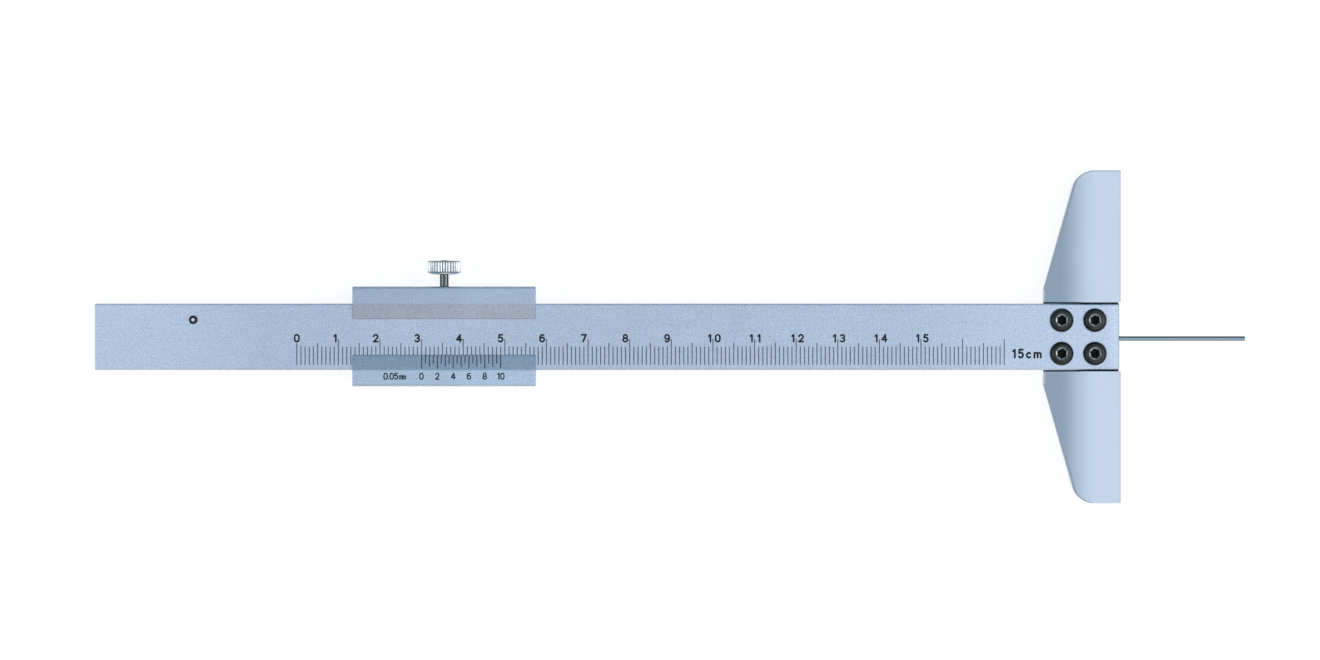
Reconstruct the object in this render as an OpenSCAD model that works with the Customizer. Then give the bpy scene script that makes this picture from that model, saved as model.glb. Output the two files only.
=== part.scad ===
// Vernier depth gauge with a round measuring rod. The beam is screwed into a slot in the
// front of a T-shaped base, and the slider carries the rod along a groove in the beam's back.
// X runs along the beam towards the tip of the rod, Y towards the clamp knob, Z out of the
// graduated face. The gauge lies on its back, its box centred on X and standing on Z = 0.

/* [Reading] */
// Depth shown at rest, which is how far the rod stands out of the measuring face
reading = 30; // [0:1:140]
// Measuring face back to the zero line of the main scale
scale_zero = 198; // [192:1:220]
// Zero line back to the square tail of the beam
tail_past_zero = 48.5; // [45:0.5:60]

/* [Base] */
// Length of the base across the beam
base_span = 80; // [64:1:120]
// Measuring face back to the rear edge
base_depth = 18.5; // [17:0.5:22]
// Thickness along the measuring face
base_t = 8; // [7:0.5:12]
// Half length of the straight rear edge
rear_half = 11.5; // [10:0.5:16]
// Depth of a wing at its end, before its corner is rounded
wing_end = 10.4; // [8:0.2:13]
// Radius of the rear corner of a wing
wing_r = 5.5; // [2:0.5:7]
// Flat strip beside the measuring face, front and back
base_flat = 5.5; // [3:0.5:7]
// Slope of the tapered faces, in degrees
base_taper = 12; // [6:1:14]
// Radius that blends the flat strip into the slope
base_blend = 43; // [20:1:48]
// Step that keeps the middle of the measuring face behind the wings
face_relief = 0.4; // [0.2:0.1:1]
// Broken edge along the measuring face
base_edge = 0.25; // [0.1:0.05:0.5]
// Bevel along the rear and sloping edges of the wings
wing_bevel = 0.45; // [0.2:0.05:0.8]
// Gap between the beam and each side of its slot
slot_gap = 0.3; // [0.05:0.05:0.4]

/* [Beam] */
// Width of the beam
beam_w = 16; // [14:0.5:20]
// Thickness of the beam
beam_t = 3; // [2.6:0.1:3.6]
// Broken long edges of the beam
beam_edge = 0.35; // [0.1:0.05:0.5]
// Width of the rod's groove in the back of the beam
groove_w = 1.7; // [1.6:0.1:2.2]
// Depth of the rod's groove
groove_d = 1.5; // [1.4:0.05:1.6]
// Groove off the middle of the beam, away from the knob
groove_off = 0.4; // [0:0.1:1]

/* [Base screws] */
// Side of the square on which the four screws stand
screw_pitch = 8; // [7:0.5:9]
// Middle of that square behind the middle of the base's depth
screw_off = 0.95; // [0.5:0.05:1.5]
// Nominal thread of the screws
screw_d = 3; // [2.5:0.1:3.5]
// Length under the head
screw_len = 6; // [5:0.5:7]
// Diameter of the button head
screw_head_d = 5.7; // [5:0.1:6.2]
// Height of the button head
screw_head_h = 1.65; // [1.2:0.05:2]
// Hexagon socket across flats
screw_hex = 2; // [1.5:0.1:2.4]
// Depth of the socket
screw_hex_depth = 1.05; // [0.6:0.05:1.2]

/* [Stop screw] */
// Zero line back to the stop screw
stop_past_zero = 24.9; // [22:0.1:30]
// Stop screw from the middle of the beam
stop_side = 4.1; // [3.8:0.1:4.8]
// Nominal thread of the stop screw
stop_d = 2; // [1.6:0.1:2.4]
// Height of the stop screw over the beam
stop_proud = 1; // [0.8:0.1:1.4]
// Hexagon socket across flats
stop_hex = 0.9; // [0.7:0.1:1.1]

/* [Slider] */
// Length of the slider
slider_len = 44; // [42:1:50]
// Zero line of the vernier behind the middle of the slider
vernier_off = 5.4; // [4:0.2:8]
// Slider past the beam on the knob's side
wall_top = 4.1; // [3.8:0.1:5.5]
// Slider past the beam on the other side
wall_bottom = 3.9; // [2.5:0.1:5.5]
// Reach of each bevelled lip over the beam
lip_reach = 3.65; // [3:0.05:4.2]
// Thickness of the lips at their flats
lip_t = 1.6; // [1.2:0.1:2.4]
// Thickness of the lips at their thin edges
lip_thin = 0.3; // [0.2:0.05:0.6]
// Thickness of the web behind the beam
web_t = 2.4; // [2.2:0.1:3]
// Running gap between the slider and the beam
slide_gap = 0.05; // [0.03:0.01:0.1]
// Broken outer edges of the slider
slider_edge = 0.4; // [0.2:0.05:0.8]

/* [Gib spring] */
// Length of the flat spring
gib_len = 34; // [24:1:36]
// Thickness of the flat spring
gib_t = 0.6; // [0.4:0.05:0.7]
// Room for the spring beside the beam
gib_room = 1.25; // [1.2:0.05:1.4]
// Gap round the spring in its pocket
gib_gap = 0.1; // [0.05:0.05:0.2]

/* [Clamp screw] */
// Nominal thread of the clamp screw
clamp_d = 2.5; // [2:0.1:2.6]
// Diameter of the plain neck under the knob
neck_d = 2.1; // [1.6:0.1:2.2]
// Length of neck that shows between the slider and the knob
neck_show = 2.8; // [2:0.1:4]
// Diameter of the knob over its teeth
knob_d = 8; // [6:0.1:9]
// Height of the knob
knob_h = 3.4; // [2.8:0.1:4.5]
// Teeth round the knob
knob_teeth = 36; // [24:1:44]
// Depth of a tooth
tooth_depth = 0.28; // [0.15:0.01:0.35]
// Bevel round the top of the knob
knob_rim = 0.45; // [0.2:0.05:0.7]
// Height of the cone under the knob
knob_cone_h = 0.65; // [0.3:0.05:0.9]
// Diameter of the small end of that cone
knob_cone_d = 5.8; // [4:0.1:6.6]
// Radius of the dished recess in the knob's top
dish_r = 2.6; // [1.8:0.1:2.8]
// Depth of the dished recess
dish_h = 0.35; // [0.2:0.05:0.5]
// Radius of the turned boss in the recess
boss_r = 1.1; // [0.7:0.1:1.4]
// Height of the boss over the rim
boss_proud = 0.15; // [0.1:0.05:0.3]

/* [Measuring rod] */
// Diameter of the measuring rod
rod_d = 1.1; // [1:0.05:1.25]
// Diameter of its turned-down end in the holder
spigot_d = 0.8; // [0.6:0.05:0.9]
// Length of the turned-down end
spigot_len = 5; // [3:0.5:6]

/* [Rod holder] */
// Length of the holder's foot
holder_len = 15; // [14:0.5:17]
// Width of the holder's foot
holder_w = 4; // [3:0.5:5]
// Length of the tongue that reaches into the groove
tongue_len = 8; // [7:0.5:9]
// Gap between the tongue and each wall of the groove
tongue_gap = 0.15; // [0.1:0.05:0.2]
// Gap round the foot in its pocket
holder_gap = 0.1; // [0.05:0.05:0.2]
// Diameter of the rivets that hold the foot
rivet_d = 1; // [0.8:0.1:1.2]
// Diameter of the rivet heads
rivet_head_d = 1.9; // [1.6:0.1:2.4]
// Height of the rivet heads
rivet_head_h = 0.35; // [0.2:0.05:0.5]
// Rivet in from each end of the foot
rivet_in = 1.7; // [1.5:0.1:2]

/* [Back plate] */
// Length of the back plate
plate_len = 30; // [26:1:36]
// Width of the back plate
plate_w = 14; // [12:0.5:18]
// Thickness of the back plate
plate_t = 0.8; // [0.6:0.05:1]
// Radius of its corners
plate_r = 1.5; // [0.5:0.1:2.5]
// Gap round the plate in its seat
plate_gap = 0.08; // [0.04:0.02:0.2]
// Plate screws in from its ends and sides
plate_screw_in = 2.6; // [2.2:0.1:3]
// Nominal thread of the plate screws
plate_screw_d = 1.6; // [1.2:0.1:1.8]
// Length of the plate screws
plate_screw_len = 2.1; // [1.8:0.1:2.2]
// Diameter of their countersunk heads
plate_head_d = 2.9; // [2.4:0.1:3.2]
// Width of their driver slots
slot_w = 0.4; // [0.3:0.05:0.5]
// Depth of their driver slots
slot_d = 0.35; // [0.2:0.05:0.45]

/* [Hidden] */
$fn = 64;
// Every cut runs this far past the face that it opens
overrun = 1;
// Play between a thread and its hole, and the running play of the clamp screw
thread_gap = 0.02;
clamp_gap = 0.05;
// Clear holes in the beam, and the air left between the screw tip and the spring
clear_gap = 0.15;
tip_gap = 0.02;
// Steps in the arcs of the outlines
arc_steps = 12;

// Heights: the base and the beam share their front plane
beam_z = base_t - beam_t;
beam_mid_z = base_t - beam_t / 2;
channel_z = beam_z - slide_gap;
slider_z = channel_z - web_t;
lip_z = base_t + slide_gap;
slider_top_z = lip_z + lip_t;
plate_top_z = slider_z + plate_t;

// Places along the beam: the measuring face, then what is dimensioned from it
beam_back = scale_zero + tail_past_zero;
face_x = (beam_back - reading) / 2;
zero_x = face_x - scale_zero;
slider_mid_x = zero_x + reading + vernier_off;
slider_x = slider_mid_x - slider_len / 2;
stop_x = zero_x - stop_past_zero;
screw_back = base_depth / 2 + screw_off;

// Places across the beam
beam_half = beam_w / 2;
slot_half = beam_half + slot_gap;
run_half = beam_half + slide_gap;
slider_top_y = beam_half + wall_top;
slider_bottom_y = -beam_half - wall_bottom;
window_half = beam_half - lip_reach;
gib_wall_y = beam_half + gib_room;
gib_top_y = beam_half + tip_gap + gib_t;
screw_tip_y = gib_top_y + tip_gap;
knob_y = slider_top_y + neck_show;

// Wing outline: lean of the sloping edge and the centre of its rounded corner
wing_lean = atan((base_depth - wing_end) / (base_span / 2 - rear_half));
wing_tangent = wing_r / tan((90 + wing_lean) / 2);

// Measuring rod in its groove
rod_z = beam_z + groove_d / 2;
tongue_top_z = beam_z + groove_d - tongue_gap;
tongue_x = slider_mid_x + tongue_len / 2;
plate_screw_x = plate_len / 2 - plate_screw_in;
plate_screw_y = plate_w / 2 - plate_screw_in;
rivet_x = holder_len / 2 - rivet_in;

// Corner signs of a square pattern, in the order that its screws are numbered
corner_signs = [[-1, 1], [1, 1], [-1, -1], [1, -1]];

// Points on an arc about a centre, from one angle to another
function arc(centre, r, from, to) = [for (i = [0:arc_steps])
    let (a = from + (to - from) * i / arc_steps) centre + r * [cos(a), sin(a)]];
function flip_y(points) = [for (i = [len(points) - 1:-1:0]) [points[i].x, -points[i].y]];

// Half of the base's outline, X back from the measuring face, Y along the wing
function wing_outline() = concat(
    [[0, base_span / 2]],
    arc([wing_tangent - wing_end, base_span / 2 - wing_r], wing_r, 90, 180 - wing_lean),
    [[-base_depth, rear_half]]);

// Half thickness of the base at a depth behind the measuring face: flat, blend, straight taper
function half_t(depth) = let (
        blend_len = base_blend * sin(base_taper),
        past = depth - base_flat)
    past <= 0 ? base_t / 2
    : past < blend_len ? base_t / 2 - base_blend + sqrt(pow(base_blend, 2) - pow(past, 2))
    : base_t / 2 - base_blend * (1 - cos(base_taper)) - (past - blend_len) * tan(base_taper);

// Half of the base's side view, with its edges broken
function taper_outline() = concat(
    [[0, base_t / 2 - base_edge], [-base_edge, base_t / 2]],
    arc([-base_flat, base_t / 2 - base_blend], base_blend, 90, 90 + base_taper),
    [[wing_bevel - base_depth, half_t(base_depth - wing_bevel)],
        [-base_depth, half_t(base_depth) - wing_bevel]]);

// Extrudes a section drawn in Y and Z along X
module along_x(length) {
    rotate([90, 0, 90]) linear_extrude(length) children();
}

// Stands a shape drawn upwards along Y instead
module along_y() {
    rotate([-90, 0, 0]) children();
}

module at_corner(signs, half_x, half_y) {
    translate([signs.x * half_x, signs.y * half_y, 0]) children();
}

module rounded_plate(size, r, height) {
    linear_extrude(height) union() {
        square([size.x - 2 * r, size.y], center = true);
        square([size.x, size.y - 2 * r], center = true);
        for (s = corner_signs)
            translate([s.x * (size.x / 2 - r), s.y * (size.y / 2 - r)]) circle(r);
    }
}

module hexagon_socket(across, depth) {
    translate([0, 0, -depth]) linear_extrude(depth + overrun)
        circle(d = across / cos(30), $fn = 6);
}

// Wedge that bevels the sloping edge of one wing, measured from the base's middle plane
module slope_bevel() {
    end_x = -wing_end - wing_tangent * sin(wing_lean);
    end_y = base_span / 2 - wing_tangent * cos(wing_lean);
    start = [-base_depth, rear_half, half_t(base_depth)];
    way = [end_x, end_y, half_t(-end_x)] - start;
    translate(start) rotate([0, -atan2(way.z, norm([way.x, way.y])), atan2(way.y, way.x)])
        rotate([45, 0, 0]) translate([-base_depth, -wing_bevel * sqrt(1 / 2), -base_t / 2])
        cube([norm(way) + 2 * base_depth, base_t, base_t]);
}

// Base: one T-shaped block whose faces taper towards the rear edge
module base() {
    color("lightsteelblue")
    translate([face_x, 0, 0]) difference() {
        intersection() {
            linear_extrude(base_t) polygon(concat(wing_outline(), flip_y(wing_outline())));
            translate([0, base_span / 2, base_t / 2]) rotate([90, 0, 0])
                linear_extrude(base_span)
                polygon(concat(taper_outline(), flip_y(taper_outline())));
        }
        translate([0, 0, base_t / 2]) for (side = [0, 1], face = [0, 1])
            mirror([0, side, 0]) mirror([0, 0, face]) slope_bevel();
        translate([-base_depth - overrun, -slot_half, beam_z])
            cube([base_depth + 2 * overrun, 2 * slot_half, beam_t + overrun]);
        translate([-face_relief, -slot_half, -overrun])
            cube([face_relief + overrun, 2 * slot_half, base_t + 2 * overrun]);
        for (s = corner_signs)
            translate([-screw_back, 0, -overrun]) at_corner(s, screw_pitch / 2, screw_pitch / 2)
                cylinder(d = screw_d, h = base_t + overrun);
    }
}

// Beam: a ground strip with broken edges and the rod's groove along its back
module beam_section() {
    e = beam_edge;
    difference() {
        polygon([[-beam_half + e, beam_z], [beam_half - e, beam_z], [beam_half, beam_z + e],
            [beam_half, base_t - e], [beam_half - e, base_t], [-beam_half + e, base_t],
            [-beam_half, base_t - e], [-beam_half, beam_z + e]]);
        translate([-groove_off - groove_w / 2, beam_z - overrun])
            square([groove_w, groove_d + overrun]);
    }
}

module beam() {
    color("lightsteelblue")
    difference() {
        translate([face_x - beam_back, 0, 0]) along_x(beam_back - face_relief) beam_section();
        for (s = corner_signs)
            translate([face_x - screw_back, 0, 0]) at_corner(s, screw_pitch / 2, screw_pitch / 2)
                cylinder(d = screw_d + 2 * clear_gap, h = base_t + overrun);
        translate([stop_x, stop_side, 0]) cylinder(d = stop_d, h = base_t + overrun);
    }
}

// Base screw: button head with a hexagon socket, seated on the beam
module button_head() {
    top_r = screw_hex * 0.8;
    rim = screw_head_h / 5;
    polygon(concat([[0, 0]],
        [for (i = [0:arc_steps]) let (a = 90 * i / arc_steps)
            [top_r + (screw_head_d / 2 - top_r) * cos(a), rim + (screw_head_h - rim) * sin(a)]],
        [[0, screw_head_h]]));
}

module base_screw(signs) {
    color("darkslategray")
    translate([face_x - screw_back, 0, base_t]) at_corner(signs, screw_pitch / 2, screw_pitch / 2)
        difference() {
            union() {
                rotate_extrude() button_head();
                translate([0, 0, -screw_len])
                    cylinder(d = screw_d - 2 * thread_gap, h = screw_len + screw_head_h / 2);
            }
            translate([0, 0, screw_head_h]) hexagon_socket(screw_hex, screw_hex_depth);
        }
}

// Stop screw: a socket set screw that stands proud in the slider's way
module stop_screw() {
    stop_len = stop_proud + beam_t - slide_gap;
    chamfer = stop_hex / 4;
    r = stop_d / 2 - thread_gap;
    color("darkslategray")
    translate([stop_x, stop_side, base_t + stop_proud - stop_len]) difference() {
        rotate_extrude() polygon([[0, 0], [r - chamfer, 0], [r, chamfer],
            [r, stop_len - chamfer], [r - chamfer, stop_len], [0, stop_len]]);
        translate([0, 0, stop_len]) hexagon_socket(stop_hex, stop_hex);
    }
}

// Slider: a channel round the beam, open at the front between two bevelled lips
module slider_section() {
    e = slider_edge;
    polygon([[slider_bottom_y + e, slider_z], [slider_top_y - e, slider_z],
        [slider_top_y, slider_z + e], [slider_top_y, slider_top_z - e],
        [slider_top_y - e, slider_top_z], [beam_half, slider_top_z],
        [window_half, lip_z + lip_thin], [window_half, lip_z], [run_half, lip_z],
        [run_half, channel_z], [-run_half, channel_z], [-run_half, lip_z],
        [-window_half, lip_z], [-window_half, lip_z + lip_thin], [-beam_half, slider_top_z],
        [slider_bottom_y + e, slider_top_z], [slider_bottom_y, slider_top_z - e],
        [slider_bottom_y, slider_z + e]]);
}

module slider_body() {
    pocket_len = gib_len + 2 * gib_gap;
    seat = [plate_len + 2 * plate_gap, plate_w + 2 * plate_gap];
    foot = [holder_len + 2 * holder_gap, holder_w + 2 * holder_gap];
    color("silver")
    difference() {
        translate([slider_x, 0, 0]) along_x(slider_len) slider_section();
        // Pocket for the flat spring, closed at both ends
        translate([slider_mid_x - pocket_len / 2, beam_half, channel_z])
            cube([pocket_len, gib_room, lip_z - channel_z]);
        // Tapped hole for the clamp screw
        translate([slider_mid_x, beam_half, beam_mid_z]) along_y()
            cylinder(d = clamp_d, h = wall_top + overrun);
        // Seat for the back plate, its screws and the holder's foot
        translate([slider_mid_x, 0, slider_z - overrun]) rounded_plate(seat, plate_r, plate_t + overrun);
        translate([slider_mid_x, -groove_off, slider_z]) linear_extrude(web_t + overrun)
            square(foot, center = true);
        for (s = corner_signs)
            translate([slider_mid_x, 0, slider_z]) at_corner(s, plate_screw_x, plate_screw_y)
                cylinder(d = plate_screw_d, h = web_t + overrun);
    }
}

// Back plate: closes the slider's back and carries the rod's holder
module countersink(grow) {
    head_r = plate_head_d / 2 + grow;
    stem_r = plate_screw_d / 2 + grow;
    translate([0, 0, -grow]) cylinder(r1 = head_r + grow, r2 = stem_r, h = head_r - stem_r + grow);
}

module slider_back_plate() {
    color("lightslategray")
    translate([slider_mid_x, 0, slider_z]) difference() {
        rounded_plate([plate_len, plate_w], plate_r, plate_t);
        for (s = corner_signs) at_corner(s, plate_screw_x, plate_screw_y) {
            translate([0, 0, -overrun]) cylinder(d = plate_screw_d + 2 * thread_gap, h = plate_t + 2 * overrun);
            countersink(thread_gap);
        }
        for (side = [-1, 1]) translate([side * rivet_x, -groove_off, -overrun])
            cylinder(d = rivet_d, h = plate_t + 2 * overrun);
    }
}

module back_plate_screw(signs) {
    head_h = (plate_head_d - plate_screw_d) / 2;
    color("dimgray")
    translate([slider_mid_x, 0, slider_z]) at_corner(signs, plate_screw_x, plate_screw_y)
        difference() {
            union() {
                cylinder(d1 = plate_head_d, d2 = plate_screw_d - 2 * thread_gap, h = head_h);
                cylinder(d = plate_screw_d - 2 * thread_gap, h = plate_screw_len);
            }
            translate([-plate_head_d, -slot_w / 2, -overrun])
                cube([2 * plate_head_d, slot_w, slot_d + overrun]);
        }
}

// Gib spring: the flat strip that the clamp screw presses on the beam
module gib_spring() {
    gib_h = lip_z - channel_z - 2 * gib_gap;
    color("goldenrod")
    translate([slider_mid_x, gib_top_y, beam_mid_z]) rotate([90, 0, 0])
        rounded_plate([gib_len, gib_h], gib_h / 4, gib_t);
}

// Clamp screw: knurled knob, plain neck and threaded stem turned in one piece
module knob_profile() {
    r = knob_d / 2;
    past = tooth_depth;
    cone_slope = knob_cone_h / (r - knob_cone_d / 2);
    boss_h = dish_h + boss_proud;
    polygon([[0, 0], [knob_cone_d / 2, 0], [r + past, knob_cone_h + past * cone_slope],
        [r + past, knob_h - knob_rim - past], [r - knob_rim, knob_h],
        [dish_r, knob_h], [dish_r - dish_h, knob_h - dish_h], [boss_r, knob_h - dish_h],
        [boss_r - boss_h / 2, knob_h + boss_proud], [0, knob_h + boss_proud]]);
}

module knurl_outline() {
    step = 360 / knob_teeth;
    polygon([for (i = [0:knob_teeth - 1], half = [0, 1])
        let (r = knob_d / 2 - half * tooth_depth, a = (i + half / 2) * step) r * [cos(a), sin(a)]]);
}

module clamp_screw() {
    stem_r = clamp_d / 2 - clamp_gap;
    thread_len = slider_top_y - screw_tip_y;
    tip = stem_r / 3;
    color("gainsboro")
    translate([slider_mid_x, 0, beam_mid_z]) along_y() union() {
        translate([0, 0, screw_tip_y]) rotate_extrude() polygon([[0, 0], [stem_r - tip, 0],
            [stem_r, tip], [stem_r, thread_len], [0, thread_len]]);
        translate([0, 0, screw_tip_y + thread_len / 2])
            cylinder(d = neck_d, h = thread_len / 2 + neck_show + knob_h / 2);
        translate([0, 0, knob_y]) intersection() {
            rotate_extrude() knob_profile();
            linear_extrude(knob_h + boss_proud) knurl_outline();
        }
    }
}

// Measuring rod: round bar with its end turned down to fit the holder
module measuring_rod() {
    color("lightgray")
    translate([tongue_x, -groove_off, rod_z]) rotate([0, 90, 0]) {
        cylinder(d = rod_d, h = face_x + reading - tongue_x);
        translate([0, 0, -spigot_len]) cylinder(d = spigot_d - 2 * thread_gap, h = spigot_len + rod_d);
    }
}

// Rod holder: a foot riveted to the back plate and a tongue that reaches into the groove
module rod_holder() {
    foot_h = channel_z - plate_top_z;
    tongue_w = groove_w - 2 * tongue_gap;
    color("slategray")
    translate([slider_mid_x, -groove_off, 0]) difference() {
        union() {
            translate([0, 0, plate_top_z]) linear_extrude(foot_h)
                square([holder_len, holder_w], center = true);
            translate([0, 0, plate_top_z]) linear_extrude(tongue_top_z - plate_top_z)
                square([tongue_len, tongue_w], center = true);
        }
        translate([tongue_len / 2 - spigot_len, 0, rod_z]) rotate([0, 90, 0])
            cylinder(d = spigot_d, h = spigot_len + overrun);
        for (side = [-1, 1]) translate([side * rivet_x, 0, 0])
            cylinder(d = rivet_d, h = base_t);
    }
}

module rod_rivet(side) {
    head_r = rivet_head_d / 2;
    color("darkgray")
    translate([slider_mid_x + side * rivet_x, -groove_off, slider_z]) {
        translate([0, 0, -rivet_head_h]) cylinder(r1 = head_r - rivet_head_h, r2 = head_r, h = rivet_head_h);
        cylinder(d = rivet_d - 2 * thread_gap, h = web_t);
    }
}

base();
beam();
base_screw(corner_signs[0]);  // base_screw_1
base_screw(corner_signs[1]);  // base_screw_2
base_screw(corner_signs[2]);  // base_screw_3
base_screw(corner_signs[3]);  // base_screw_4
stop_screw();
slider_body();
slider_back_plate();
back_plate_screw(corner_signs[0]);  // back_plate_screw_1
back_plate_screw(corner_signs[1]);  // back_plate_screw_2
back_plate_screw(corner_signs[2]);  // back_plate_screw_3
back_plate_screw(corner_signs[3]);  // back_plate_screw_4
gib_spring();
clamp_screw();
measuring_rod();
rod_holder();
rod_rivet(-1);  // rod_rivet_1
rod_rivet(1);  // rod_rivet_2
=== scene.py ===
# %% [markdown]
# # A vernier depth gauge
# A depth gauge measures how deep a hole or a step is. Its wide base rests on the work, a thin rod
# goes down into the hole, and the slider that carries the rod is read against the beam's scale.
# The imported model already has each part's size, place and motion. This lesson gives the parts
# their ground edges, turned screws, engraved scales and steel finishes, and then a plain studio.

# %% Open the frame
import functools
import math

import bmesh
import bpy
from mathutils import Matrix, Vector


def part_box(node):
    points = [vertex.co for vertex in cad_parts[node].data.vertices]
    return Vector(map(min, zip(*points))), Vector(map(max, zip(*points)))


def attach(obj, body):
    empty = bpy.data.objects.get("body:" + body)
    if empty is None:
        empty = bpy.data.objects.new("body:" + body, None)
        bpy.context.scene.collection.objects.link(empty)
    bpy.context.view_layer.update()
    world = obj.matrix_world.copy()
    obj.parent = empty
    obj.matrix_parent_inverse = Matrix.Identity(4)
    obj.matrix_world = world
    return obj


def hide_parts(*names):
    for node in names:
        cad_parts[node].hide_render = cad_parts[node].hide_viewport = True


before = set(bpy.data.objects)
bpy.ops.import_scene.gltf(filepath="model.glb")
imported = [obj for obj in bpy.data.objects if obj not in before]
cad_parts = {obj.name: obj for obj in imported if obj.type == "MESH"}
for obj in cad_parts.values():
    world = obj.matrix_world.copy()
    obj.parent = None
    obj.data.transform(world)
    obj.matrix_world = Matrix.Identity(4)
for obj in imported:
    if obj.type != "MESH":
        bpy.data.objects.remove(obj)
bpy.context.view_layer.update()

# %% [markdown]
# ## Where the parts are
# Blender works in metres here, but a toolmaker thinks in millimetres, so lengths below are written
# as a number times MM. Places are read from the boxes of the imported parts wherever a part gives
# them. Only what no box gives, such as the reach of a lip, is written again as a named size.

# %% Measures
MM = 0.001
X, Y, Z = Vector((1, 0, 0)), Vector((0, 1, 0)), Vector((0, 0, 1))


def middle(node):
    """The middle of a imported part's box."""
    low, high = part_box(node)
    return (low + high) / 2


def top(node):
    """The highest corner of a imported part's box."""
    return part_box(node)[1]


def foot(node, axis):
    """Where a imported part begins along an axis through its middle, and how long it is."""
    low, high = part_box(node)
    length = abs((high - low).dot(axis))
    return middle(node) - axis * length / 2, length


face_x = top("base").x
front_z = top("beam").z
beam_half = top("beam").y
slider_mid = middle("slider_body")
slider_top = top("slider_body")
knob_top = top("clamp_screw")
rod_tip = top("measuring_rod")
print("the rod stands", round((rod_tip.x - face_x) / MM, 2), "mm out of the measuring face")

# %% [markdown]
# ## Pieces and how they ride
# Every visible piece is one mesh with one finish. It moves with one body of the mechanism, and may
# stand for a imported part, which is then hidden. One helper does all three, so that no piece can
# be left behind when the slider moves.

# %% Helpers for pieces
def in_scene(name, data):
    """A new object in the scene."""
    made = bpy.data.objects.new(name, data)
    bpy.context.scene.collection.objects.link(made)
    return made


def new_piece(name, points, faces):
    """A mesh object from points in metres and faces given as point numbers, facing outwards."""
    mesh = bpy.data.meshes.new(name)
    mesh.from_pydata(points, [], faces)
    solid = bmesh.new()
    solid.from_mesh(mesh)
    bmesh.ops.recalc_face_normals(solid, faces=solid.faces)
    solid.to_mesh(mesh)
    solid.free()
    return in_scene(name, mesh)


def dress(piece, finish, body, slot, *nodes):
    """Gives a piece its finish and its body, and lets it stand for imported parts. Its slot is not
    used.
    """
    piece.data.materials.clear()
    piece.data.materials.append(finish)
    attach(piece, body)
    if nodes:
        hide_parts(*nodes)
    print(f"{piece.name}: {len(piece.data.polygons)} faces, rides on {body}")


# %% [markdown]
# ## Ground parts
# The base, beam and slider are ground blocks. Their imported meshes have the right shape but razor
# edges, and a real edge is always broken a little: it is the thin bright line that makes steel look
# like steel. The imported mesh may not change, so a copy is welded, its triangles are joined into
# whole faces, and a narrow Bevel is added. Creases too shallow for the Bevel, such as those of the
# lips, are marked sharp, and Weighted Normal then keeps the large faces flat.

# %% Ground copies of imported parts
WELD = 0.002 * MM
FLAT_ANGLE, CREASE_ANGLE, EDGE_ANGLE = (math.radians(degrees) for degrees in (0.2, 9, 28))
EDGE_STEPS = 2


def ground_copy(node, edge=0.0):
    """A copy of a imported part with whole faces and, if a width is given, broken edges."""
    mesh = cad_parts[node].data.copy()
    if "custom_normal" in mesh.attributes:
        mesh.attributes.remove(mesh.attributes["custom_normal"])
    solid = bmesh.new()
    solid.from_mesh(mesh)
    bmesh.ops.remove_doubles(solid, verts=solid.verts, dist=WELD)
    bmesh.ops.dissolve_limit(solid, angle_limit=FLAT_ANGLE, verts=solid.verts, edges=solid.edges)
    solid.to_mesh(mesh)
    solid.free()
    mesh.shade_smooth()
    mesh.set_sharp_from_angle(angle=CREASE_ANGLE)
    piece = in_scene(f"{node}_ground", mesh)
    if edge:
        bevel = piece.modifiers.new("broken_edges", "BEVEL")
        bevel.width, bevel.segments, bevel.limit_method = edge, EDGE_STEPS, "ANGLE"
        bevel.angle_limit, bevel.use_clamp_overlap, bevel.miter_outer = EDGE_ANGLE, False, "MITER_ARC"
    piece.modifiers.new("flat_faces", "WEIGHTED_NORMAL").keep_sharp = True
    return piece


# %% [markdown]
# ## Turned parts
# Screws, the knob and the rod come off a lathe, so they are stacks of rings round an axis. A ring's
# radius may also be a function of the angle: that gives a hexagon socket, the teeth of a knurl or
# the helix of a thread with the same few lines. The mesh is made about its own Z axis and then
# stood in place, so that a finish can find the axis in the piece's own coordinates.

# %% Rings, sockets and threads
TURN = 2 * math.pi
SHARP_TURNED, RINGS_PER_PITCH = math.radians(32), 6


def turned(name, rings, steps, place, axis):
    """A closed solid from rings of (height, radius), stood at a place along an axis."""
    points, faces = [], []
    for height, radius in rings:
        for k in range(steps):
            angle = TURN * k / steps
            r = radius(angle) if callable(radius) else radius
            points.append((r * math.cos(angle), r * math.sin(angle), height))
    for ring in range(len(rings) - 1):
        a, b = ring * steps, (ring + 1) * steps
        faces += [(a + k, a + (k + 1) % steps, b + (k + 1) % steps, b + k) for k in range(steps)]
    faces += [tuple(range(steps)), tuple(range(len(points) - steps, len(points)))]
    piece = new_piece(name, points, faces)
    piece.data.shade_smooth()
    piece.data.set_sharp_from_angle(angle=SHARP_TURNED)
    piece.matrix_world = Matrix.Translation(place) @ axis.to_track_quat("Z", "Y").to_matrix().to_4x4()
    return piece


def hexagon(across, turn):
    """The radius of a turned hexagon of that width across its flats, as a function of the angle."""
    sixth = TURN / 6
    return lambda angle: across / 2 / math.cos((angle - turn) % sixth - sixth / 2)


def quarter(start, end, steps):
    """Rings along a quarter ellipse from one (height, radius) to another."""
    (h0, r0), (h1, r1) = start, end
    turns = [math.pi / 2 * k / steps for k in range(1, steps + 1)]
    return [(h0 + (h1 - h0) * math.sin(t), r1 + (r0 - r1) * math.cos(t)) for t in turns]


def thread(radius, depth, pitch, start, end):
    """Rings of a right-hand thread, whose radius falls and rises once in a turn and a pitch."""
    def ring(height):
        return lambda angle: radius - depth * abs(2 * ((height / pitch - angle / TURN) % 1) - 1)
    count = max(1, round((end - start) / pitch * RINGS_PER_PITCH))
    heights = [start + (end - start) * k / count for k in range(count + 1)]
    return [(height, ring(height)) for height in heights]
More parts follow.
